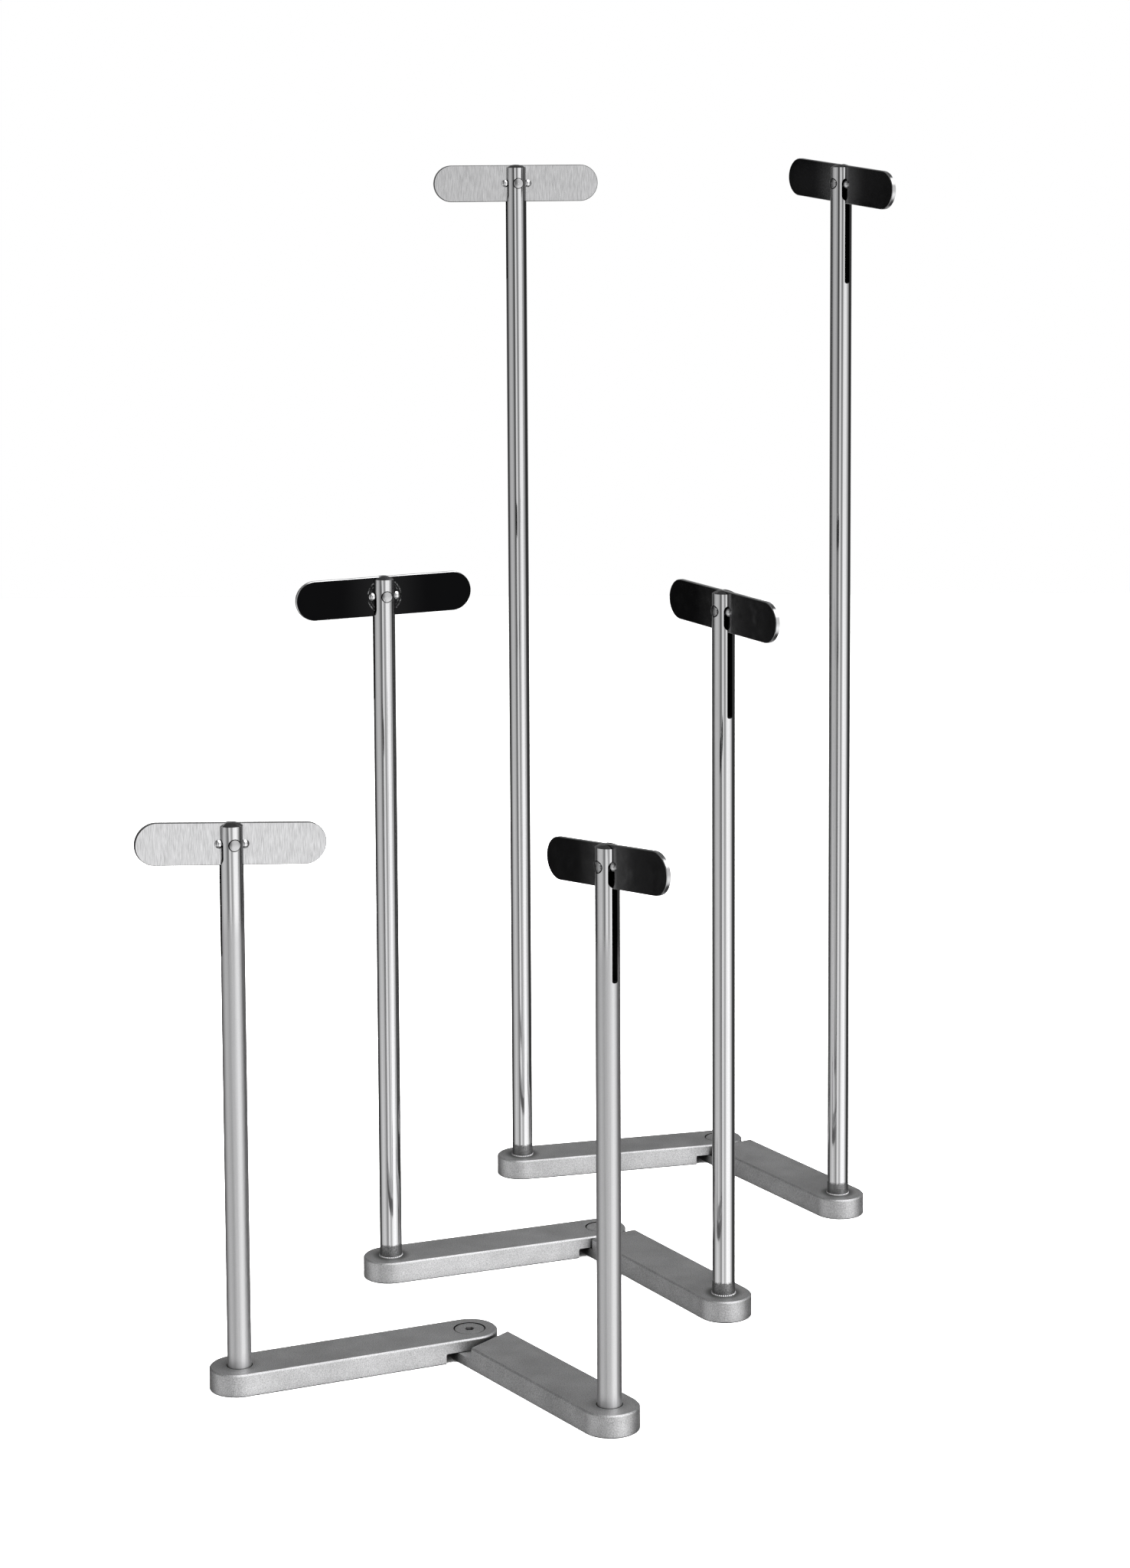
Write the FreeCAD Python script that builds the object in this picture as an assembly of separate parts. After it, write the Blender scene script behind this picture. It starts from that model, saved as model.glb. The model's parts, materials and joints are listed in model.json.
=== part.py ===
"""Three free-standing folding steel stands, small, mid and tall, nested one behind the other.

Each stand is two flat foot bars joined by a lap hinge, with a round post at the outer end of
each bar and a rounded cross plate that swings down into a slot in the top of the post.
Millimetres, +Z up, origin under the middle of the set on the surface that it stands on.
"""
import FreeCAD, Part
import math
import os

# Foot bars
bar_width = 38.0
bar_thickness = 15.0
pivot_to_post = 163.0
post_to_bar_end = 20.0
bar_top_chamfer = 1.0
bar_bottom_chamfer = 0.6

# Lap hinge between the bars: the left bar lies over the tongue of the right bar
tongue_thickness = 6.6
washer_thickness = 0.4
hinge_play = 0.05
washer_radius = 10.0
shoulder_gap = 0.5
notch_gap = 5.0
notch_corner = 1.2

# Hinge screw
screw_head_radius = 10.1
screw_head_height = 3.8
screw_head_recess = 0.2
screw_head_gap = 0.4
screw_edge = 0.3
screw_shank_radius = 5.0
screw_thread_radius = 4.0
screw_tip_height = 0.6
socket_across_flats = 6.0
socket_depth = 2.4

# Posts
post_radius = 8.0
post_dome_rise = 2.5
edge_above_rivet = 12.0
spigot_radius = 6.0
spigot_length = 9.0
weld_radius = 1.0

# Slot across the post, and the wider pockets that the stop studs swing through
plate_thickness = 3.4
slot_clearance = 0.4
slot_drop = 74.0
slot_corner = 1.5
stud_clearance = 0.3
pocket_side_clearance = 0.7
pocket_end_clearance = 1.5

# Cross plates
plate_length = 130.0
plate_height = 28.0
plate_edge = 0.4

# Pivot rivet of each plate
rivet_radius = 2.5
rivet_play = 0.05
rivet_head_radius = 3.6
rivet_head_sink = 1.6
rivet_head_rim = 1.7
rivet_head_dome = 0.5

# Stop studs, one on each side of the rivet
stud_offset = 8.8
stud_shank_radius = 1.75
stud_head_radius = 2.9
stud_head_rim = 0.6
stud_head_dome = 1.4

# name, height, hinge place beside the small stand's hinge, bearings of the left and right
# bars from the hinge in degrees, and how far the right bar's shoulder is off square
stands = (
    ("small", 380.0, (0.0, 0.0), 203.0, -55.0, 17.0),
    ("mid", 512.0, (91.0, 205.0), 201.0, -58.5, 0.0),
    ("tall", 800.0, (189.0, 420.0), 194.5, -58.5, 0.0),
)

# Stands whose posts are welded to their bars, the others being a plain press fit
welded_stands = ("mid", "tall")

# How far each plate hangs off level in its loose pivot, in degrees, outer end down
plate_sag = {
    "small_left": -4.6, "small_right": -5.0,
    "mid_left": 1.0, "mid_right": 2.0,
    "tall_left": 0.0, "tall_right": 5.0,
}

# Derived sizes
half_width = bar_width / 2
notch_ceiling = tongue_thickness + washer_thickness + hinge_play
notch_wall = half_width + notch_gap
shoulder = half_width + shoulder_gap
counterbore_radius = screw_head_radius + screw_head_gap
head_top = bar_thickness - screw_head_recess
head_bottom = head_top - screw_head_height
counterbore_floor = head_bottom - hinge_play
slot_width = plate_thickness + 2 * slot_clearance
boss_radius = stud_offset - stud_head_radius - stud_clearance
stud_reach = plate_thickness / 2 + stud_head_rim + stud_head_dome
pocket_radius = max(stud_reach + pocket_side_clearance, stud_head_radius + pocket_end_clearance)
rivet_below_top = edge_above_rivet + post_dome_rise
rivet_head_seat = post_radius - rivet_head_sink
overcut = 5.0

X = FreeCAD.Vector(1, 0, 0)
Y = FreeCAD.Vector(0, 1, 0)
Z = FreeCAD.Vector(0, 0, 1)
ORIGIN = FreeCAD.Vector(0, 0, 0)


def point(x, y, z):
    return FreeCAD.Vector(x, y, z)


def rod(radius, z_low, z_high):
    """Upright cylinder on the Z axis."""
    return Part.makeCylinder(radius, z_high - z_low, point(0, 0, z_low), Z)


def stadium(x_low, x_high, width, z_low, thickness):
    """Flat bar with semicircular ends, along X, lying on z_low."""
    r = width / 2
    near = Part.LineSegment(point(x_low + r, -r, z_low), point(x_high - r, -r, z_low))
    right = Part.Arc(point(x_high - r, -r, z_low), point(x_high, 0, z_low), point(x_high - r, r, z_low))
    far = Part.LineSegment(point(x_high - r, r, z_low), point(x_low + r, r, z_low))
    left = Part.Arc(point(x_low + r, r, z_low), point(x_low, 0, z_low), point(x_low + r, -r, z_low))
    wire = Part.Wire([side.toShape() for side in (near, right, far, left)])
    return Part.Face(wire).extrude(Z * thickness)


def level_edges(solid, z):
    """Edges of a solid that lie flat at height z."""
    return [e for e in solid.Edges if abs(e.BoundBox.ZMin - z) < 1e-3 and abs(e.BoundBox.ZMax - z) < 1e-3]


def turned(profile):
    """Solid made by turning a closed XZ profile about the Z axis."""
    wire = Part.Wire([side.toShape() for side in profile])
    return Part.Face(wire).revolve(ORIGIN, Z, 360)


def domed_rod(radius, z_low, z_edge, rise):
    """Round rod whose top is a shallow dome that starts at z_edge."""
    sphere = (radius ** 2 + rise ** 2) / (2 * rise)
    half = math.asin(radius / sphere) / 2
    mid = point(sphere * math.sin(half), 0, z_edge + rise - sphere * (1 - math.cos(half)))
    return turned((
        Part.LineSegment(point(0, 0, z_low), point(radius, 0, z_low)),
        Part.LineSegment(point(radius, 0, z_low), point(radius, 0, z_edge)),
        Part.Arc(point(radius, 0, z_edge), mid, point(0, 0, z_edge + rise)),
        Part.LineSegment(point(0, 0, z_edge + rise), point(0, 0, z_low)),
    ))


def bar_blank():
    """Foot bar before its lap is cut: round at the hinge, round past the post."""
    bar = stadium(-half_width, pivot_to_post + post_to_bar_end, bar_width, 0, bar_thickness)
    bar = bar.makeChamfer(bar_top_chamfer, level_edges(bar, bar_thickness))
    bar = bar.makeChamfer(bar_bottom_chamfer, level_edges(bar, 0))
    socket = rod(spigot_radius, bar_thickness - spigot_length, bar_thickness + overcut)
    socket.translate(X * pivot_to_post)
    return bar.cut(socket)


def left_bar():
    """Upper half of the lap, with the counterbore for the hinge screw."""
    length = notch_wall + bar_width
    notch = Part.makeBox(length, 2 * bar_width, notch_ceiling + overcut, point(-bar_width, -bar_width, -overcut))
    inner = [e for e in level_edges(notch, notch_ceiling) if abs(e.BoundBox.XMin - notch_wall) < 1e-3]
    bar = bar_blank().cut(notch.makeFillet(notch_corner, inner))
    bar = bar.cut(rod(screw_shank_radius + hinge_play, 0, bar_thickness))
    return bar.cut(rod(counterbore_radius, counterbore_floor, bar_thickness + overcut))


def right_bar(skew):
    """Lower half of the lap: a round tongue in front of a full-height shoulder."""
    run = math.tan(math.radians(skew))
    far = shoulder - half_width * run
    near = shoulder + 3 * half_width * run
    corners = ((-bar_width, bar_width), (-bar_width, -bar_width), (near, -bar_width), (far, bar_width))
    outline = [point(x, y, tongue_thickness) for x, y in corners]
    step = Part.Face(Part.makePolygon(outline + outline[:1])).extrude(Z * bar_thickness)
    return bar_blank().cut(step).cut(rod(screw_thread_radius, -overcut, bar_thickness))


def hinge_washer():
    top = tongue_thickness + washer_thickness
    ring = rod(washer_radius, tongue_thickness, top)
    return ring.cut(rod(screw_shank_radius + hinge_play, tongue_thickness, top))


def hinge_screw():
    """Flush cylinder-head shoulder screw with a hexagon socket."""
    head = rod(screw_head_radius, head_bottom, head_top)
    head = head.makeChamfer(screw_edge, level_edges(head, head_top))
    shank = rod(screw_shank_radius, tongue_thickness, head_bottom)
    thread = rod(screw_thread_radius, screw_tip_height, tongue_thickness)
    corner = socket_across_flats / math.sqrt(3)
    hexagon = [point(corner, 0, head_top - socket_depth)]
    for step in range(1, 6):
        turn = math.radians(60 * step)
        hexagon.append(point(corner * math.cos(turn), corner * math.sin(turn), head_top - socket_depth))
    socket = Part.Face(Part.makePolygon(hexagon + hexagon[:1])).extrude(Z * (socket_depth + overcut))
    return head.fuse(shank).fuse(thread).cut(socket).removeSplitter()


def stud_pocket(rivet_height):
    """Space that the outer stop stud swings through, left clear of the boss round the rivet."""
    inner_end = -(stud_head_radius + stud_clearance)
    depth = post_radius + overcut - inner_end
    track = stadium(-pocket_radius, stud_offset + pocket_radius, 2 * pocket_radius, 0, depth)
    track.rotate(ORIGIN, Y, 90)
    track.translate(point(inner_end, 0, 0))
    boss = Part.makeCylinder(boss_radius, 4 * pocket_radius, point(0, -2 * pocket_radius, 0), Y)
    pocket = track.cut(boss)
    pocket.translate(Z * rivet_height)
    return pocket


def post(height):
    """Round post on its spigot, slotted from the top for the cross plate."""
    rivet_height = height - rivet_below_top
    shaft = domed_rod(post_radius, bar_thickness, height - post_dome_rise, post_dome_rise)
    shaft = shaft.fuse(rod(spigot_radius, bar_thickness - spigot_length, bar_thickness))
    floor = rivet_height - slot_drop
    slot = Part.makeBox(
        2 * (post_radius + overcut), slot_width, height + overcut - floor,
        point(-post_radius - overcut, -slot_width / 2, floor),
    )
    corners = [e for e in level_edges(slot, floor) if e.BoundBox.XLength > post_radius]
    shaft = shaft.cut(slot.makeFillet(slot_corner, corners))
    pocket = stud_pocket(rivet_height)
    shaft = shaft.cut(pocket)
    shaft = shaft.cut(pocket.rotated(point(0, 0, rivet_height), Y, 180))
    bore = Part.makeCylinder(rivet_radius, 4 * post_radius, point(0, -2 * post_radius, rivet_height), Y)
    shaft = shaft.cut(bore)
    for side in (-1, 1):
        seat = point(0, side * rivet_head_seat, rivet_height)
        shaft = shaft.cut(Part.makeCylinder(rivet_head_radius, post_radius, seat, Y * side))
    shaft = shaft.removeSplitter()
    shaft.translate(X * pivot_to_post)
    return shaft


def weld_bead():
    """Small round bead where the post meets the top of its bar."""
    torus = Part.makeTorus(post_radius, weld_radius, point(0, 0, bar_thickness), Z)
    reach = post_radius + 2 * weld_radius
    above = rod(reach, bar_thickness, bar_thickness + 2 * weld_radius)
    bead = torus.common(above).cut(rod(post_radius, 0, 2 * bar_thickness))
    bead.translate(X * pivot_to_post)
    return bead


def plate(rivet_height):
    """Cross plate, level across the post, with holes for its rivet and its two studs."""
    half = plate_length / 2
    body = stadium(-half, half, plate_height, -plate_thickness / 2, plate_thickness)
    rims = level_edges(body, plate_thickness / 2) + level_edges(body, -plate_thickness / 2)
    body = body.makeChamfer(plate_edge, rims)
    body = body.cut(rod(rivet_radius + rivet_play, -plate_thickness, plate_thickness))
    for side in (-1, 1):
        hole = rod(stud_shank_radius, -plate_thickness, plate_thickness)
        hole.translate(X * side * stud_offset)
        body = body.cut(hole)
    return raised_across(body, rivet_height, 0)


def raised_across(shape, rivet_height, offset):
    """Turn a piece made along Z so that it lies across the post, then lift it to the rivet."""
    shape.rotate(ORIGIN, X, 90)
    shape.translate(point(pivot_to_post + offset, 0, rivet_height))
    return shape


def double_headed(shank_radius, seat, head_radius, rim, dome):
    """Pin along Z with a domed head at each end, seated at plus and minus seat."""
    pin = rod(shank_radius, -seat, seat)
    head = domed_rod(head_radius, seat, seat + rim, dome)
    return pin.fuse(head).fuse(head.rotated(ORIGIN, X, 180)).removeSplitter()


def rivet(rivet_height):
    pin = double_headed(rivet_radius, rivet_head_seat, rivet_head_radius, rivet_head_rim, rivet_head_dome)
    return raised_across(pin, rivet_height, 0)


def stud(rivet_height, side):
    pin = double_headed(
        stud_shank_radius, plate_thickness / 2, stud_head_radius, stud_head_rim, stud_head_dome
    )
    return raised_across(pin, rivet_height, side * stud_offset)


def half_stand(name, side, height, bar):
    """The pieces of one half of a stand, along X from the hinge."""
    rivet_height = height - rivet_below_top
    label = name + "_" + side
    swinging = {
        "plate": plate(rivet_height),
        "outer_stud": stud(rivet_height, 1),
        "inner_stud": stud(rivet_height, -1),
    }
    for shape in swinging.values():
        shape.rotate(point(pivot_to_post, 0, rivet_height), Y, plate_sag[label])
    pieces = {"bar": bar, "post": post(height), "rivet": rivet(rivet_height)}
    if name in welded_stands:
        pieces["weld"] = weld_bead()
    pieces.update(swinging)
    return {label + "_" + piece: shape for piece, shape in pieces.items()}


def placed(shapes, bearing, hinge):
    """Turn pieces about the hinge to their bearing and move them to the hinge's place."""
    for shape in shapes.values():
        shape.rotate(ORIGIN, Z, bearing)
        shape.translate(point(hinge[0], hinge[1], 0))
    return shapes


def stand(name, height, hinge, left_bearing, right_bearing, skew):
    shapes = placed(half_stand(name, "left", height, left_bar()), left_bearing, hinge)
    shapes.update(placed(half_stand(name, "right", height, right_bar(skew)), right_bearing, hinge))
    centre = {name + "_hinge_screw": hinge_screw(), name + "_hinge_washer": hinge_washer()}
    shapes.update(placed(centre, right_bearing, hinge))
    return shapes


def set_shift(shapes):
    """Move that brings the middle of the set's footprint to the origin."""
    box = Part.makeCompound(list(shapes.values())).optimalBoundingBox()
    return point(-(box.XMin + box.XMax) / 2, -(box.YMin + box.YMax) / 2, 0)


model = {}
for row in stands:
    model.update(stand(*row))
shift = set_shift(model)

os.makedirs("parts", exist_ok=True)
for node, shape in model.items():
    shape.translate(shift)
    shape.exportStep("parts/" + node + ".step")
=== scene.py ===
"""Folding steel stands: finishes, weld beads and studio for the nested set of three."""
import json
import math

import bpy
from bpy.props import FloatProperty, FloatVectorProperty, IntProperty, PointerProperty
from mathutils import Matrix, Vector


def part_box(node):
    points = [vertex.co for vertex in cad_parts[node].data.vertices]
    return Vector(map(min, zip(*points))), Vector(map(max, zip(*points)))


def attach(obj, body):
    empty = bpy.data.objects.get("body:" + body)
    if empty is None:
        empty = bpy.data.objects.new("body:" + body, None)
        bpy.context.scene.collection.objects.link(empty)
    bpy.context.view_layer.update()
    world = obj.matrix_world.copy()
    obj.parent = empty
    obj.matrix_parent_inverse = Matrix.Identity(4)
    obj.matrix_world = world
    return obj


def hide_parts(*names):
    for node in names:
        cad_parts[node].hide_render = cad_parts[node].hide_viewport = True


bl_info = {
    "name": "Folding Stand Set",
    "version": (1, 0, 0),
    "blender": (4, 5, 0),
    "location": "View3D > Sidebar > Stand Set",
    "description": "Finishes, weld beads and studio for three nested folding steel stands",
    "category": "Object",
}

MM = 0.001
STANDS = ("small", "mid", "tall")
SIDES = ("left", "right")
WELDED_STANDS = ("mid", "tall")
BRUSHED_PLATES = ("small_left", "tall_left")
# the plate painted blackest, as a painted dark reflection
BLACK_REFLECTION_PLATE = "mid_left"
UP = (0, 0, 1)
POST_SHADE = {"small": 0.35, "mid": 0.95, "tall": 0.95}  # how dark the painted shade and painted reflection of the post make a bar round its foot
MIDDLE = (0.3, 0.7)  # most of a noise pattern lies between these two values
GLOSSY = 0.07  # roughness of the polished posts
SATIN = 0.42  # roughness of the posts of the small stand, below their polished tops
POLISHED_TOP = 80 * MM  # how far down the polish of a satin post reaches
SEAM_GAP = 0.25 * MM  # from the rim of a rivet head to the middle of the thin line of painted shade round it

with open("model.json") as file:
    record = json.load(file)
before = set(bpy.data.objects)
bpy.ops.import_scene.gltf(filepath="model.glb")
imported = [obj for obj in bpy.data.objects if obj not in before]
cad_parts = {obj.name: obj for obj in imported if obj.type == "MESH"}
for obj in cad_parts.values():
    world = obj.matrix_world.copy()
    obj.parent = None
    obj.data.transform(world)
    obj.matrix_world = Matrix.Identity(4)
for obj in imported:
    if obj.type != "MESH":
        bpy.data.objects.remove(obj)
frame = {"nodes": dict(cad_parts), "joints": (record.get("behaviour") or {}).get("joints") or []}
nodes = frame["nodes"]
joints = {joint["name"]: joint for joint in frame["joints"]}
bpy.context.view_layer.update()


def linear(hex_colour):
    """Linear RGBA of an sRGB hex colour."""
    channels = [int(hex_colour[i:i + 2], 16) / 255 for i in (1, 3, 5)]
    return [c / 12.92 if c <= 0.04045 else ((c + 0.055) / 1.055) ** 2.4 for c in channels] + [1.0]


# ------------------------------------------------------------------ settings

class FinishSettings(bpy.types.PropertyGroup):
    blasted_colour: FloatVectorProperty(
        name="Blasted steel", description="Colour of the bead-blasted foot bars",
        subtype="COLOR", size=4, min=0, max=1, default=linear("#f2f2f3"))
    grain_shade: FloatProperty(
        name="Grain shade", description="Brightness of the dimples as a share of the flats",
        default=0.5, min=0, max=1)
    blast_grain: FloatProperty(
        name="Blast grain", description="Size of one blasting dimple, drawn coarse enough to show",
        subtype="DISTANCE", unit="LENGTH", default=0.65 * MM, min=0.1 * MM)
    polished_colour: FloatVectorProperty(
        name="Polished steel", description="Colour of the posts, rivets, studs and bare edges",
        subtype="COLOR", size=4, min=0, max=1, default=linear("#dfdfe0"))
    # partly the duller machined finish and partly painted: painted shade in the slots and pockets and a
    # painted dark reflection on the turned post ends; darker shades of it paint shade deep in the slots
    # and on the broken plate edges
    dull_and_shaded_colour: FloatVectorProperty(
        name="Machined steel", description="Colour of the milled slots and the turned post ends",
        subtype="COLOR", size=4, min=0, max=1, default=linear("#8e8e8f"))
    drawn_streak: FloatProperty(
        name="Drawn streak", description="Width of one streak along the posts, drawn wide enough to show",
        subtype="DISTANCE", unit="LENGTH", default=0.7 * MM, min=0.1 * MM)
    brushed_colour: FloatVectorProperty(
        name="Brushed plate", description="Colour of the two brushed cross plates",
        subtype="COLOR", size=4, min=0, max=1, default=linear("#dadadb"))
    brush_line: FloatProperty(
        name="Brush line", description="Width of one brushing line of a plate, drawn wide enough to show",
        subtype="DISTANCE", unit="LENGTH", default=0.38 * MM, min=0.1 * MM)
    # painted dark reflection: the polished faces of the three right-hand plates are drawn dark, standing
    # in for the dark studio they reflect
    dark_reflection_colour: FloatVectorProperty(
        name="Smoked plate", description="Colour of the faces of the three dark right-hand plates",
        subtype="COLOR", size=4, min=0, max=1, default=linear("#3a3a3b"))
    # painted dark reflection: the polished faces of the middle stand's left plate are drawn near black,
    # standing in for the dark studio they reflect
    black_reflection_colour: FloatVectorProperty(
        name="Black plate", description="Colour of the faces of the black plate of the middle stand",
        subtype="COLOR", size=4, min=0, max=1, default=linear("#0d0d0e"))
    matt_band: FloatProperty(
        name="Matt band", description="Length of the blasted band at the foot of each welded post",
        subtype="DISTANCE", unit="LENGTH", default=8.5 * MM, min=0)
    wear_radius: FloatProperty(
        name="Wear ring", description="Radius of the ring that the post rubs on its plate",
        subtype="DISTANCE", unit="LENGTH", default=12.3 * MM, min=1 * MM)


class WeldSettings(bpy.types.PropertyGroup):
    ripples: IntProperty(
        name="Ripples", description="Ripples round one weld bead", default=34, min=8, max=80)
    ripple_width: FloatProperty(
        name="Ripple width", description="Half the length of one ripple along the bead",
        subtype="DISTANCE", unit="LENGTH", default=1.1 * MM, min=0.3 * MM)


class StudioSettings(bpy.types.PropertyGroup):
    camera_place: FloatVectorProperty(
        name="Camera", description="Place of the camera", subtype="XYZ", unit="LENGTH",
        default=(0.0197, -2.2534, 0.8208))
    camera_turn: FloatVectorProperty(
        name="Camera turn", description="Tilt, roll and pan of the camera", subtype="EULER",
        unit="ROTATION", default=[math.radians(a) for a in (84.112, 0.304, -0.002)])
    lens: FloatProperty(
        name="Lens", description="Focal length in millimetres", default=74.2, min=10)
    drop: FloatProperty(
        name="Lens drop", description="Downward shift of the lens, which keeps the posts upright",
        default=0.2, min=0, max=0.5)
    floor_side: FloatProperty(
        name="Floor", description="Side of the square studio floor", subtype="DISTANCE",
        unit="LENGTH", default=7.0, min=2)
    paper_colour: FloatVectorProperty(
        name="Paper", description="Colour of the paper sweep", subtype="COLOR", size=4,
        min=0, max=1, default=linear("#f6f6f6"))
    overhead_power: FloatProperty(
        name="Overhead light", description="Power of the light over the paper, in watts",
        unit="POWER", default=420.0, min=0)
    overhead_height: FloatProperty(
        name="Overhead height", description="Height of the overhead light above the paper",
        subtype="DISTANCE", unit="LENGTH", default=2.6, min=1)
    overhead_size: FloatProperty(
        name="Overhead size", description="Side of the square overhead light",
        subtype="DISTANCE", unit="LENGTH", default=3.0, min=0.1)
    softbox_level: FloatProperty(
        name="High softbox", description="Brightness of the softbox high on the right",
        default=2.2, min=0)
    softbox_bearing: FloatProperty(
        name="Softbox bearing", description="Degrees from the front to the high softbox, to the right",
        default=52.0, min=-180, max=180)
    softbox_height: FloatProperty(
        name="Softbox height", description="Degrees from level up to the high softbox",
        default=55.0, min=0, max=90)


# ----------------------------------------------------------------- materials

def add_node(tree, kind, inputs=None, output=0, **properties):
    """Add one node, set its properties, fill its inputs with values or links; give its output."""
    node = tree.nodes.new(kind)
    for name, value in properties.items():
        setattr(node, name, value)
    for key, value in (inputs or {}).items():
        if isinstance(value, bpy.types.NodeSocket):
            tree.links.new(value, node.inputs[key])
        else:
            node.inputs[key].default_value = value
    return node.outputs[output] if node.outputs else None


def span(start, end, low, high):
    """Settings of a Map Range node that stretches start to end over low to high."""
    return {"From Min": start, "From Max": end, "To Min": low, "To Max": high}


def shade_of(colour, factor):
    """A colour made darker, or brighter with a factor over 1."""
    return [c * factor for c in colour[:3]] + [1.0]


def new_material(name):
    """An empty material and its node tree."""
    material = bpy.data.materials.new(name)
    material.use_nodes = True
    material.node_tree.nodes.clear()
    return material, material.node_tree


def set_surface(tree, colour, layers, roughness, metallic=1.0, **normal):
    """Lay colours over a first colour, each through its mask, and join them to the surface."""
    for mask, over in layers:
        colour = add_node(tree, "ShaderNodeMix", {0: mask, 6: colour, 7: over}, output=2,
                          data_type="RGBA")
    shader = add_node(tree, "ShaderNodeBsdfPrincipled",
                      {"Base Color": colour, "Roughness": roughness, "Metallic": metallic, **normal})
    add_node(tree, "ShaderNodeOutputMaterial", {"Surface": shader})


def noise(tree, width, height=None, detail=3.0):
    """Noise on object coordinates with marks of a width, and of a height if it isn't the same."""
    scale = (1 / width, 1 / width, 1 / (height or width))
    coords = add_node(tree, "ShaderNodeTexCoord", output="Object")
    mapped = add_node(tree, "ShaderNodeMapping", {"Vector": coords, "Scale": scale})
    return add_node(tree, "ShaderNodeTexNoise",
                    {"Vector": mapped, "Scale": 1.0, "Detail": detail, "Roughness": 0.55})


def about_axis(tree, place, axis):
    """Distance of each point from a line through place along axis."""
    coords = add_node(tree, "ShaderNodeTexCoord", output="Object")
    offset = add_node(tree, "ShaderNodeVectorMath", {0: coords, 1: place}, operation="SUBTRACT")
    cross = add_node(tree, "ShaderNodeVectorMath", {0: offset, 1: axis}, operation="CROSS_PRODUCT")
    return add_node(tree, "ShaderNodeVectorMath", {0: cross}, output="Value", operation="LENGTH")


def squareness(tree, axis):
    """How squarely a surface faces along an axis: 1 on a plate's two faces, 0 on its edge."""
    normal = add_node(tree, "ShaderNodeNewGeometry", output="Normal")
    facing = add_node(tree, "ShaderNodeVectorMath", {0: normal, 1: axis}, output="Value",
                      operation="DOT_PRODUCT")
    return add_node(tree, "ShaderNodeMath", {0: facing}, operation="ABSOLUTE")


def crevice_shade(tree, reach):
    """Mask of painted shade: 1 deep in a notch or socket or under an edge, 0 in the open and where
    a wall meets a floor. The node gives the share of open air round a spot: over 0.56 is open and
    under 0.22 is deep."""
    shelter = add_node(tree, "ShaderNodeAmbientOcclusion", {"Distance": reach}, output="AO", samples=12)
    return add_node(tree, "ShaderNodeMapRange", {"Value": shelter, **span(0.56, 0.22, 0.0, 1.0)})


def blasted_steel(name, settings, post, post_radius, post_shade, screw=None, head_radius=0.0):
    """Bead-blasted stainless steel: an even soft grey with a fine sandy grain and no clear
    reflection. Painted shade makes it nearly black in the notch and under the edges, and painted
    shade and a painted reflection of the post darken it round the foot of the post. Thin lines of
    painted shade show the seam of the post and the gap round the hinge screw. A real dimple is
    about 0.1 mm, too fine to show, so the grain is drawn coarser."""
    material, tree = new_material(name)
    bright = settings.blasted_colour
    grain = noise(tree, settings.blast_grain)
    clouds = noise(tree, 100 / 3 * MM)
    patches = add_node(tree, "ShaderNodeMapRange", {"Value": clouds, **span(*MIDDLE, 0.85, 1.15)})
    mottle = add_node(tree, "ShaderNodeMath", {0: grain, 1: patches}, operation="MULTIPLY")
    flats = add_node(tree, "ShaderNodeMapRange", {"Value": mottle, **span(*MIDDLE, 0.0, 1.0)})
    from_post = about_axis(tree, post, UP)
    # painted shade and painted reflection of the post, darkening the bar round its foot
    shade_near_post = add_node(
        tree, "ShaderNodeMapRange",
        {"Value": from_post, **span(post_radius + 0.5 * MM, post_radius + 7 * MM, post_shade, 0.0)},
        interpolation_type="SMOOTHSTEP")
    # thin line of painted shade in the seam where the post meets the bar
    seam = add_node(tree, "ShaderNodeMath", {0: from_post, 1: post_radius + 0.3 * MM, 2: 0.35 * MM},
                    operation="COMPARE")
    # layers of painted shade over the grain: round the post, in its seam, in the notch and under the
    # edges
    layers = [(flats, bright), (shade_near_post, shade_of(bright, 0.25)), (seam, shade_of(bright, 0.05)),
              (crevice_shade(tree, 22 * MM), shade_of(bright, 0.03))]
    if screw:
        # thin line of painted shade in the gap round the hinge screw head
        gap = add_node(tree, "ShaderNodeMath",
                       {0: about_axis(tree, screw, UP), 1: head_radius + 0.35 * MM, 2: 0.45 * MM},
                       operation="COMPARE")
        layers.append((gap, shade_of(bright, 0.01)))
    rough = add_node(tree, "ShaderNodeMapRange", {"Value": grain, **span(*MIDDLE, 0.46, 0.58)})
    bump = add_node(tree, "ShaderNodeBump", {"Height": grain, "Strength": 0.35, "Distance": 0.08 * MM})
    set_surface(tree, shade_of(bright, settings.grain_shade), layers, rough, Normal=bump)
    return material


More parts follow.
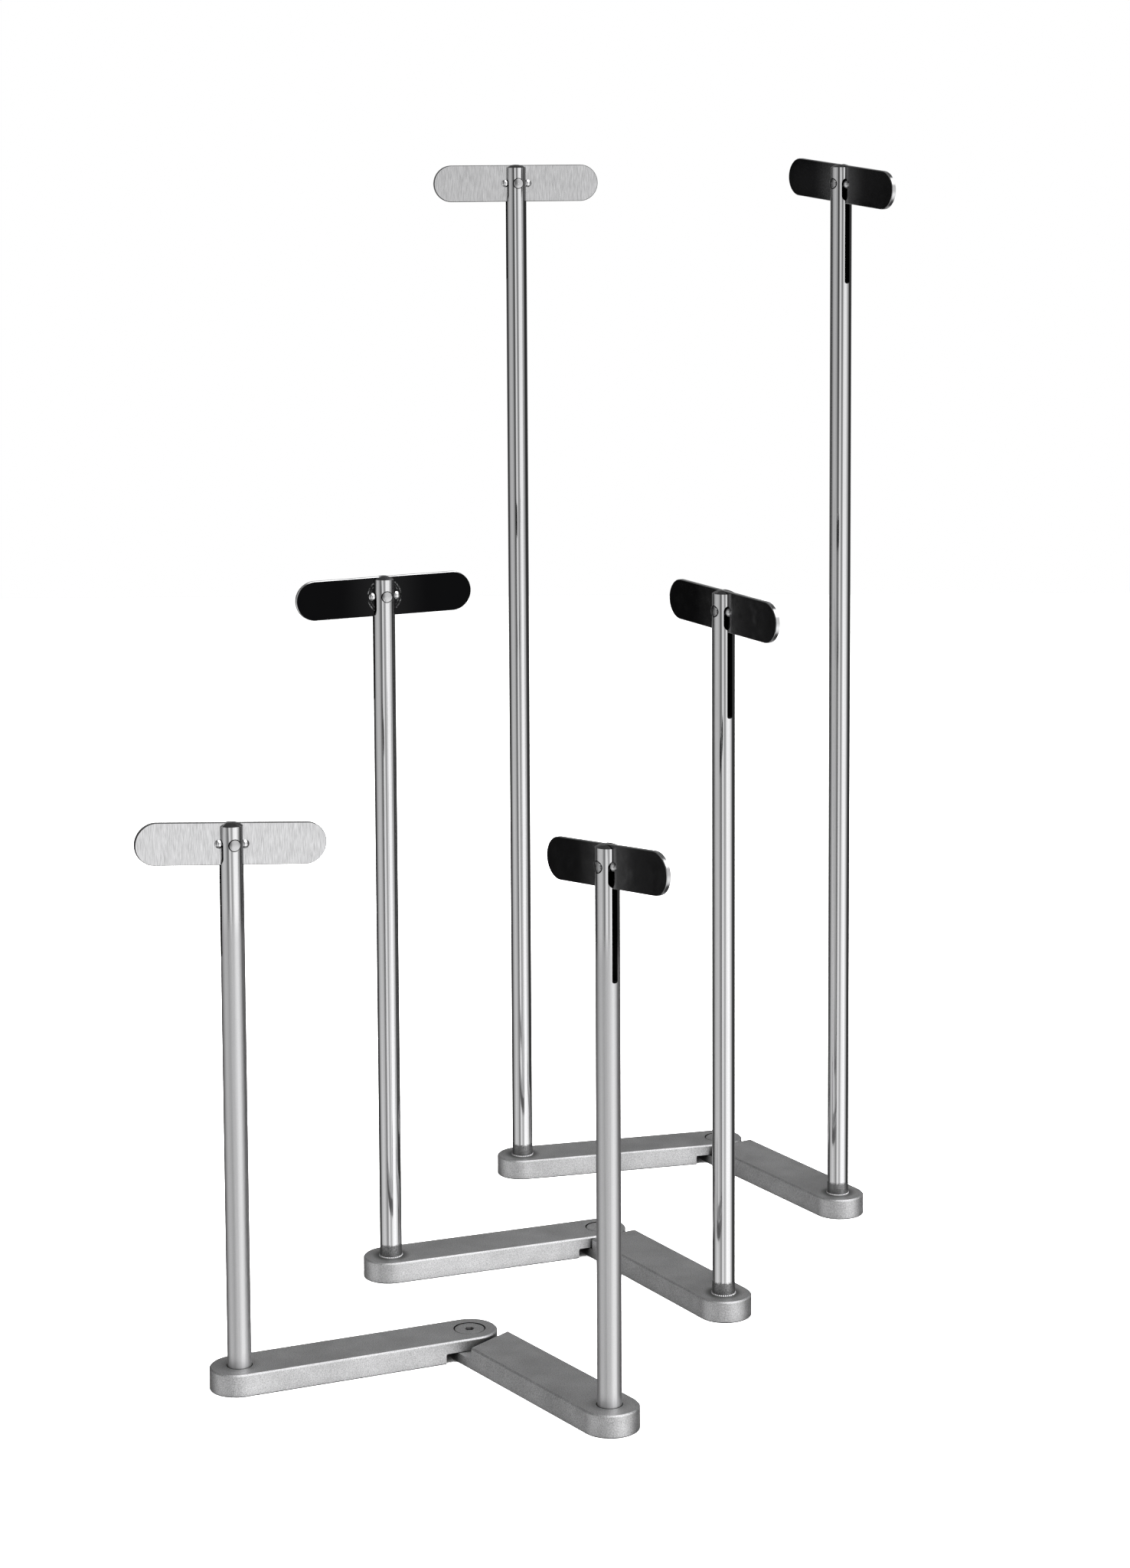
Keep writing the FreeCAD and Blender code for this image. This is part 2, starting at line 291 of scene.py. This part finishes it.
def post_steel(name, settings, rivet, axis, head_radius, radius, rough, gloss_from, band_top):
    """Drawn round bar: long straight reflections with faint streaks along the bar. It is rough
    below gloss_from, glossy above it and blasted below band_top; the blasted band is painted much
    darker than the blasted bars, as painted shade. The slot, the pockets and the turned end are
    dull and painted dark: painted shade in the slot and pockets, deepest far into the slot, and a
    painted dark reflection on the turned end. A thin line of painted shade shows the seam round
    the rivet head."""
    material, tree = new_material(name)
    streak = noise(tree, settings.drawn_streak, 500 / 3 * MM)
    grain = noise(tree, settings.blast_grain, detail=2.0)
    coords = add_node(tree, "ShaderNodeTexCoord", output="Object")
    height = add_node(tree, "ShaderNodeSeparateXYZ", {"Vector": coords}, output="Z")

    # masks: the ragged blasted band, the inside of the round bar, the painted shade deep in the slot and
    # the painted shade in the seam of the rivet
    uneven = add_node(tree, "ShaderNodeMapRange", {"Value": grain, **span(*MIDDLE, -0.6 * MM, 0.6 * MM)})
    ragged = add_node(tree, "ShaderNodeMath", {0: height, 1: uneven}, operation="ADD")
    blasted = add_node(tree, "ShaderNodeMapRange",
                       {"Value": ragged, **span(band_top, band_top + 1.2 * MM, 1.0, 0.0)})
    inside = add_node(tree, "ShaderNodeMath", {0: about_axis(tree, rivet, UP), 1: radius - 0.12 * MM},
                      operation="LESS_THAN")
    deep = add_node(tree, "ShaderNodeMath", {0: inside, 1: crevice_shade(tree, 12 * MM)}, operation="MULTIPLY")
    seam = add_node(tree, "ShaderNodeMath",
                    {0: about_axis(tree, rivet, axis), 1: head_radius + SEAM_GAP, 2: 0.3 * MM},
                    operation="COMPARE")

    # roughness: the roughest of the streaky polish, the band and the milled faces
    polish = add_node(tree, "ShaderNodeMapRange",
                      {"Value": height, **span(gloss_from, gloss_from + 35 * MM, rough, GLOSSY)},
                      interpolation_type="SMOOTHSTEP")
    waver = add_node(tree, "ShaderNodeMapRange", {"Value": streak, **span(*MIDDLE, 0.85, 1.2)})
    roughness = add_node(tree, "ShaderNodeMath", {0: polish, 1: waver}, operation="MULTIPLY")
    for mask, roughest in ((blasted, 0.45), (inside, 0.22)):
        masked = add_node(tree, "ShaderNodeMath", {0: mask, 1: roughest}, operation="MULTIPLY")
        roughness = add_node(tree, "ShaderNodeMath", {0: roughness, 1: masked}, operation="MAXIMUM")

    lines = add_node(tree, "ShaderNodeMath", {0: grain, 1: 0.35, 2: streak}, operation="MULTIPLY_ADD")
    shine = add_node(tree, "ShaderNodeMapRange", {"Value": lines, **span(0.45, 0.9, 0.0, 1.0)})
    sand = add_node(tree, "ShaderNodeMapRange", {"Value": grain, **span(0.35, 0.65, 0.0, 1.0)})
    # painted shade: the blasted band is drawn much darker than the same blasted steel on the bars
    band = add_node(tree, "ShaderNodeMix", {0: sand, 6: shade_of(settings.blasted_colour, 0.16),
                                            7: shade_of(settings.blasted_colour, 0.42)},
                    output=2, data_type="RGBA")
    # the inside takes the dull colour, partly painted shade and a painted dark reflection; deep in the
    # slot and in the rivet seam it is nearly black, as painted shade
    layers = [(shine, shade_of(settings.polished_colour, 1.04)), (blasted, band),
              (inside, settings.dull_and_shaded_colour), (deep, shade_of(settings.dull_and_shaded_colour, 0.02)),
              (seam, shade_of(settings.polished_colour, 0.01))]
    bump = add_node(tree, "ShaderNodeBump", {"Height": streak, "Strength": 0.15, "Distance": 0.02 * MM})
    set_surface(tree, shade_of(settings.polished_colour, 0.86), layers, roughness, Normal=bump)
    return material


def brushed_plate(name, settings, axis):
    """Flat bar brushed up and down: bright satin faces with fine short lines, and a line of painted
    shade where the edge is broken. Real lines are under 0.1 mm wide, too fine to show, so they are
    drawn wider."""
    material, tree = new_material(name)
    lines = noise(tree, settings.brush_line, 18 * settings.brush_line, detail=4.0)
    clouds = noise(tree, 50 / 3 * MM, 25 * MM)
    patches = add_node(tree, "ShaderNodeMapRange", {"Value": clouds, **span(*MIDDLE, 0.93, 1.07)})
    uneven = add_node(tree, "ShaderNodeMath", {0: lines, 1: patches}, operation="MULTIPLY")
    pattern = add_node(tree, "ShaderNodeMapRange", {"Value": uneven, **span(*MIDDLE, 0.0, 1.0)})
    # painted shade: a dark line on the broken edge
    broken = add_node(tree, "ShaderNodeMath", {0: squareness(tree, axis), 1: 0.71, 2: 0.2},
                      operation="COMPARE")
    rough = add_node(tree, "ShaderNodeMapRange", {"Value": clouds, **span(*MIDDLE, 0.24, 0.34)})
    bump = add_node(tree, "ShaderNodeBump", {"Height": lines, "Strength": 0.3, "Distance": 0.04 * MM})
    layers = [(pattern, shade_of(settings.brushed_colour, 1.04)),
              (broken, shade_of(settings.dull_and_shaded_colour, 0.18))]
    set_surface(tree, shade_of(settings.brushed_colour, 0.58), layers, rough, Normal=bump)
    return material


def dark_plate(name, settings, face_colour, rivet, axis, sheen_level):
    """Mirror-polished flat bar painted dark as a painted reflection: near-black faces with faint
    rubbed arcs round the rivet, a painted sheen beside the post, and a painted highlight of bright
    steel on the machined rim."""
    material, tree = new_material(name)
    distance = about_axis(tree, rivet, axis)
    clouds = noise(tree, 50 / 7 * MM)
    scratches = noise(tree, 10 / 9 * MM, detail=2.0)
    # the rubbed wear arcs; the painted highlight on the rim and the painted sheen near the post are added
    # to them below
    outer = add_node(tree, "ShaderNodeMath", {0: distance, 1: settings.wear_radius, 2: 0.45 * MM},
                     operation="COMPARE")
    inner = add_node(tree, "ShaderNodeMath", {0: distance, 1: settings.wear_radius * 0.86, 2: 0.3 * MM},
                     operation="COMPARE")
    wear_and_sheen = add_node(tree, "ShaderNodeMath", {0: outer, 1: inner}, operation="MAXIMUM")
    for pattern, start, end, most in ((clouds, 0.38, 0.65, 0.35), (scratches, 0.4, 0.65, 1.3)):
        broken = add_node(tree, "ShaderNodeMapRange", {"Value": pattern, **span(start, end, 0.0, most)})
        wear_and_sheen = add_node(tree, "ShaderNodeMath", {0: wear_and_sheen, 1: broken}, operation="MULTIPLY")
    # painted highlight: bright steel on the rim of the plate
    rim = add_node(tree, "ShaderNodeMapRange",
                   {"Value": squareness(tree, axis), **span(0.97, 0.9, 0.0, 1.0)})
    # painted sheen, lighter towards the post
    post_sheen = add_node(tree, "ShaderNodeMapRange",
                    {"Value": about_axis(tree, rivet, UP), **span(34 * MM, 6 * MM, 0.0, sheen_level)},
                    interpolation_type="SMOOTHSTEP")
    for mask in (rim, post_sheen):
        wear_and_sheen = add_node(tree, "ShaderNodeMath", {0: wear_and_sheen, 1: mask}, operation="MAXIMUM")
    rough = add_node(tree, "ShaderNodeMapRange", {"Value": clouds, **span(*MIDDLE, 0.1, 0.24)})
    set_surface(tree, face_colour, [(wear_and_sheen, settings.polished_colour)], rough)
    return material


def weld_metal(settings):
    """Bright TIG weld metal: shiny silver ripples, with painted shade between them and at their foot."""
    material, tree = new_material("weld_metal")
    heat = noise(tree, 10 / 9 * MM, detail=2.0)
    rough = add_node(tree, "ShaderNodeMapRange", {"Value": heat, **span(*MIDDLE, 0.12, 0.22)})
    # painted shade between the ripples and at the foot of the bead
    layers = [(heat, shade_of(settings.polished_colour, 1.2)),
              (crevice_shade(tree, 3 * MM), shade_of(settings.polished_colour, 0.05))]
    set_surface(tree, shade_of(settings.polished_colour, 0.8), layers, rough)
    return material


def turned_steel(name, settings, shade=1.0):
    """Turned and polished pins and washers: small bright domes; a shade under 1 makes a darker copy of
    the steel, as painted shade.
    """
    material, tree = new_material(name)
    marks = noise(tree, 5 / 6 * MM, detail=2.0)
    rough = add_node(tree, "ShaderNodeMapRange", {"Value": marks, **span(*MIDDLE, 0.08, 0.16)})
    layers = [(marks, shade_of(settings.polished_colour, shade))]
    set_surface(tree, shade_of(settings.polished_colour, 0.85 * shade), layers, rough)
    return material


def paper(settings):
    """White paper sweep: matt, evenly lit, nearly without shadow."""
    material, tree = new_material("white_paper_sweep")
    fibres = noise(tree, 10 / 3 * MM, detail=2.0)
    set_surface(tree, shade_of(settings.paper_colour, 0.99), [(fibres, settings.paper_colour)], 0.9,
                metallic=0.0)
    return material


def paint(node, material):
    """Give a CAD node a material in each of its slots."""
    for slot in nodes[node].material_slots:
        slot.material = material


# ----------------------------------------------------------------- operators

class STANDSET_OT_finish_bars(bpy.types.Operator):
    """Bead-blasted foot bars and hinge screws"""
    bl_idname = "standset.finish_bars"
    bl_label = "Finish foot bars"

    def execute(self, context):
        settings = context.scene.stand_finish
        washer = turned_steel("turned_washer_steel", settings)
        for stand in STANDS:
            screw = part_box(f"{stand}_hinge_screw")
            hinge = joints[f"{stand}_base_fold"]["pos_m"]
            left, right = (joints[f"{stand}_{side}_plate_tilt"]["pos_m"] for side in SIDES)
            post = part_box(f"{stand}_left_post")
            radius = (post[1].x - post[0].x) / 2
            plain = blasted_steel(
                f"bead_blasted_steel_{stand}_right", settings, right, radius, POST_SHADE[stand])
            lapped = blasted_steel(
                f"bead_blasted_steel_{stand}_left", settings, left, radius, POST_SHADE[stand],
                hinge, (screw[1].x - screw[0].x) / 2)
            paint(f"{stand}_left_bar", lapped)
            paint(f"{stand}_right_bar", plain)
            paint(f"{stand}_hinge_screw", plain)
            paint(f"{stand}_hinge_washer", washer)
        return {"FINISHED"}


class STANDSET_OT_finish_posts(bpy.types.Operator):
    """Satin posts on the small stand, polished posts above a blasted band on the others"""
    bl_idname = "standset.finish_posts"
    bl_label = "Finish posts"

    def execute(self, context):
        settings = context.scene.stand_finish
        for stand in STANDS:
            for side in SIDES:
                post = f"{stand}_{side}_post"
                tilt = joints[f"{stand}_{side}_plate_tilt"]
                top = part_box(post)[1].z
                bar_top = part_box(f"{stand}_{side}_bar")[1].z
                radius = (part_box(post)[1].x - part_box(post)[0].x) / 2
                welded = stand in WELDED_STANDS
                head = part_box(f"{stand}_{side}_rivet")
                steel = post_steel(
                    f"drawn_steel_{stand}_{side}", settings, tilt["pos_m"], tilt["axis"],
                    (head[1].z - head[0].z) / 2, radius,
                    rough=GLOSSY if welded else SATIN,
                    gloss_from=0.0 if welded else top - POLISHED_TOP,
                    band_top=bar_top + settings.matt_band if welded else 0.0)
                paint(post, steel)
        return {"FINISHED"}


class STANDSET_OT_finish_plates(bpy.types.Operator):
    """Brushed cross plates, and polished cross plates painted dark as a painted reflection"""
    bl_idname = "standset.finish_plates"
    bl_label = "Finish cross plates"

    def execute(self, context):
        settings = context.scene.stand_finish
        for stand in STANDS:
            for side in SIDES:
                label = f"{stand}_{side}"
                tilt = joints[f"{label}_plate_tilt"]
                if label in BRUSHED_PLATES:
                    steel = brushed_plate(f"brushed_steel_{label}", settings, tilt["axis"])
                # painted dark reflection on the polished plates, blackest on the middle stand's left
                # plate
                elif label == BLACK_REFLECTION_PLATE:
                    steel = dark_plate("painted_black_reflection_steel", settings, settings.black_reflection_colour,
                                       tilt["pos_m"], tilt["axis"], sheen_level=0.01)
                else:
                    steel = dark_plate(f"painted_dark_reflection_steel_{label}", settings, settings.dark_reflection_colour,
                                       tilt["pos_m"], tilt["axis"], sheen_level=0.22)
                paint(f"{label}_plate", steel)
        return {"FINISHED"}


class STANDSET_OT_finish_pins(bpy.types.Operator):
    """Polished rivets and stop studs"""
    bl_idname = "standset.finish_pins"
    bl_label = "Finish rivets and studs"

    def execute(self, context):
        domes = turned_steel("turned_stud_steel", context.scene.stand_finish)
        # the rivet heads are a darker copy of the stud steel, as painted shade
        shaded_heads = turned_steel("shaded_turned_rivet_steel", context.scene.stand_finish, shade=0.7)
        for stand in STANDS:
            for side in SIDES:
                for pin, steel in (("rivet", shaded_heads), ("outer_stud", domes), ("inner_stud", domes)):
                    paint(f"{stand}_{side}_{pin}", steel)
        return {"FINISHED"}


class STANDSET_OT_weld_posts(bpy.types.Operator):
    """Rippled weld bead round the foot of each post of the middle and tall stands"""
    bl_idname = "standset.weld_posts"
    bl_label = "Weld the posts"

    def execute(self, context):
        settings = context.scene.stand_weld
        metal = weld_metal(context.scene.stand_finish)
        for stand in WELDED_STANDS:
            for side in SIDES:
                node = f"{stand}_{side}_weld"
                low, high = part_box(node)
                centre = (low + high) / 2
                foot = Vector((centre.x, centre.y, low.z))
                reach = (high.x - low.x) / 2
                bead = weld_bead(f"{node}_bead", foot, reach, high.z - low.z, settings)
                bead.data.materials.append(metal)
                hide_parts(node)
                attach(bead, "right_halves" if side == "right" else f"{stand}_left_half")
        return {"FINISHED"}


def weld_bead(name, foot, reach, height, settings):
    """Ring of overlapping ripples whose outside stays within reach of the post's axis."""
    bpy.ops.object.select_all(action="DESELECT")
    bpy.ops.mesh.primitive_uv_sphere_add(segments=16, ring_count=10, radius=1)
    ripples = [bpy.context.object]
    while len(ripples) < settings.ripples:
        copy = ripples[0].copy()
        copy.data = ripples[0].data.copy()
        bpy.context.collection.objects.link(copy)
        ripples.append(copy)
    step = 2 * math.pi / settings.ripples
    out = reach - height
    lean = math.radians(12)
    for number, ripple in enumerate(ripples):
        turn = number * step
        width = settings.ripple_width * (0.92 + 0.08 * (number % 3))
        ripple.location = (foot.x + out * math.cos(turn), foot.y + out * math.sin(turn), foot.z)
        ripple.rotation_euler = (0, lean, turn)
        ripple.scale = (height, width, height * 0.97)
        ripple.select_set(True)
    bpy.context.view_layer.update()
    bpy.context.view_layer.objects.active = ripples[0]
    bpy.ops.object.join()
    bead = bpy.context.object
    bpy.ops.object.transform_apply(location=True, rotation=True, scale=True)
    bpy.ops.object.mode_set(mode="EDIT")
    bpy.ops.mesh.select_all(action="SELECT")
    bpy.ops.mesh.bisect(plane_co=foot, plane_no=UP, clear_inner=True, use_fill=False)
    bpy.ops.object.mode_set(mode="OBJECT")
    bpy.ops.object.shade_smooth()
    bead.name = name
    bead.data.name = name
    return bead


class STANDSET_OT_stage(bpy.types.Operator):
    """White studio with side softboxes, dark flags and the camera"""
    bl_idname = "standset.stage"
    bl_label = "Set the stage"

    def execute(self, context):
        settings = context.scene.stand_studio
        bpy.ops.object.select_all(action="DESELECT")
        bpy.ops.mesh.primitive_plane_add(size=settings.floor_side, location=(0, 0, 0))
        floor = context.object
        floor.name = "paper_floor"
        floor.data.materials.append(paper(settings))
        floor.visible_glossy = False
        bpy.ops.object.light_add(type="AREA", location=(0, 0, settings.overhead_height))
        light = context.object
        light.name = "overhead_softbox"
        light.data.shape = "SQUARE"
        light.data.size = settings.overhead_size
        light.data.energy = settings.overhead_power
        light.visible_glossy = False
        surround(context.scene, settings)
        bpy.ops.object.camera_add(location=settings.camera_place, rotation=settings.camera_turn)
        camera = context.object
        camera.name = "studio_camera"
        camera.data.lens = settings.lens
        camera.data.shift_y = -settings.drop
        context.scene.camera = camera
        context.scene.view_settings.view_transform = "Standard"
        return {"FINISHED"}


# brightness of the studio by bearing, in degrees from the front and towards the right
WALLS = (
    (-180, 0.24), (-148, 0.24), (-136, 0.04), (-112, 0.04), (-101, 0.30), (-88, 0.52), (-68, 0.58),
    (-50, 0.48), (-39, 0.30), (-34, 0.06), (-24, 0.08), (-17, 0.50), (-12, 0.90), (-3, 0.85),
    (2, 0.30), (13, 0.24), (19, 0.45), (27, 1.00), (38, 1.12), (56, 1.08), (68, 0.70), (82, 0.42),
    (94, 0.12), (103, 0.03), (136, 0.03), (148, 0.24), (180, 0.24),
)
# the same for the floor and the low reflectors, which show in the feet of the posts
LOW_WALLS = (
    (-180, 0.40), (-152, 0.36), (-140, 0.08), (-110, 0.10), (-90, 0.70), (-62, 1.05), (-40, 0.85),
    (-30, 0.55), (-20, 0.72), (-8, 1.30), (3, 0.90), (15, 0.95), (27, 1.60), (70, 1.70), (84, 0.75),
    (94, 0.08), (138, 0.08), (150, 0.36), (180, 0.40),
)
# degrees from the middle of the high softbox to its soft rim and to its full brightness
SOFTBOX_REACH = (36, 25)


def by_bearing(tree, turn, walls):
    """Brightness ramp over the bearing of a direction."""
    level = add_node(tree, "ShaderNodeValToRGB", {"Fac": turn})
    stops = level.node.color_ramp.elements
    while len(stops) < len(walls):
        stops.new(0.5)
    for stop, (degrees, brightness) in zip(stops, walls):
        stop.position = (degrees + 180) / 360
        stop.color = (brightness, brightness, brightness, 1)
    return level


def surround(scene, settings):
    """Studio seen in the polished steel: softboxes and dark flags by bearing, a softbox high on
    the right, and the pale floor coming up from below. The background itself is white."""
    world = bpy.data.worlds.new("white_studio")
    scene.world = world
    world.use_nodes = True
    tree = world.node_tree
    tree.nodes.clear()
    coords = add_node(tree, "ShaderNodeTexCoord", output="Generated")
    direction = add_node(tree, "ShaderNodeSeparateXYZ", {"Vector": coords}).node
    height = direction.outputs["Z"]
    away = add_node(tree, "ShaderNodeMath", {0: direction.outputs["Y"], 1: -1.0}, operation="MULTIPLY")
    bearing = add_node(tree, "ShaderNodeMath", {0: direction.outputs["X"], 1: away}, operation="ARCTAN2")
    turn = add_node(tree, "ShaderNodeMapRange", {"Value": bearing, **span(-math.pi, math.pi, 0.0, 1.0)})

    low = add_node(tree, "ShaderNodeMapRange", {"Value": height, **span(-0.06, -0.38, 0.0, 0.6)})
    ceiling = add_node(tree, "ShaderNodeMapRange", {"Value": height, **span(0.4, 0.75, 0.0, 0.85)},
                       interpolation_type="SMOOTHSTEP")
    underfoot = add_node(tree, "ShaderNodeMapRange", {"Value": height, **span(-0.62, -0.85, 0.0, 0.85)},
                         interpolation_type="SMOOTHSTEP")
    side, up = math.radians(settings.softbox_bearing), math.radians(settings.softbox_height)
    aim = (math.sin(side) * math.cos(up), -math.cos(side) * math.cos(up), math.sin(up))
    near = add_node(tree, "ShaderNodeVectorMath", {0: coords, 1: aim}, output="Value",
                    operation="DOT_PRODUCT")
    rim, core = (math.cos(math.radians(degrees)) for degrees in SOFTBOX_REACH)
    softbox = add_node(tree, "ShaderNodeMapRange", {"Value": near, **span(rim, core, 0.0, 1.0)},
                       interpolation_type="SMOOTHSTEP")

    level = by_bearing(tree, turn, WALLS)
    layers = ((low, by_bearing(tree, turn, LOW_WALLS)), (ceiling, (0.1, 0.1, 0.1, 1)),
              (underfoot, (0.05, 0.05, 0.05, 1)), (softbox, [settings.softbox_level] * 3 + [1]))
    for mask, over in layers:
        level = add_node(tree, "ShaderNodeMix", {0: mask, 6: level, 7: over}, output=2,
                         data_type="RGBA")
    inside = add_node(tree, "ShaderNodeBackground", {"Color": level, "Strength": 1.0})
    behind = add_node(tree, "ShaderNodeBackground", {"Color": (1, 1, 1, 1), "Strength": 1.0})
    seen = add_node(tree, "ShaderNodeLightPath", output="Is Camera Ray")
    choice = add_node(tree, "ShaderNodeMixShader", {0: seen, 1: inside, 2: behind})
    add_node(tree, "ShaderNodeOutputWorld", {"Surface": choice})


class STANDSET_PT_panel(bpy.types.Panel):
    """Lists the steps that finish the stand set"""
    bl_idname = "STANDSET_PT_panel"
    bl_label = "Stand Set"
    bl_space_type = "VIEW_3D"
    bl_region_type = "UI"
    bl_category = "Stand Set"

    def draw(self, context):
        for group in (context.scene.stand_finish, context.scene.stand_weld, context.scene.stand_studio):
            box = self.layout.box()
            for name in group.__annotations__:
                box.prop(group, name)
        for step in STEPS:
            self.layout.operator(step.bl_idname)


STEPS = (
    STANDSET_OT_finish_bars,
    STANDSET_OT_finish_posts,
    STANDSET_OT_finish_plates,
    STANDSET_OT_finish_pins,
    STANDSET_OT_weld_posts,
    STANDSET_OT_stage,
)
CLASSES = (FinishSettings, WeldSettings, StudioSettings, *STEPS, STANDSET_PT_panel)


def register():
    for cls in CLASSES:
        bpy.utils.register_class(cls)
    bpy.types.Scene.stand_finish = PointerProperty(type=FinishSettings)
    bpy.types.Scene.stand_weld = PointerProperty(type=WeldSettings)
    bpy.types.Scene.stand_studio = PointerProperty(type=StudioSettings)


def unregister():
    del bpy.types.Scene.stand_studio
    del bpy.types.Scene.stand_weld
    del bpy.types.Scene.stand_finish
    for cls in reversed(CLASSES):
        bpy.utils.unregister_class(cls)


def main():
    register()
    for step in STEPS:
        group, name = step.bl_idname.split(".")
        getattr(getattr(bpy.ops, group), name)()
    bpy.context.view_layer.update()


if __name__ == "__main__":
    main()
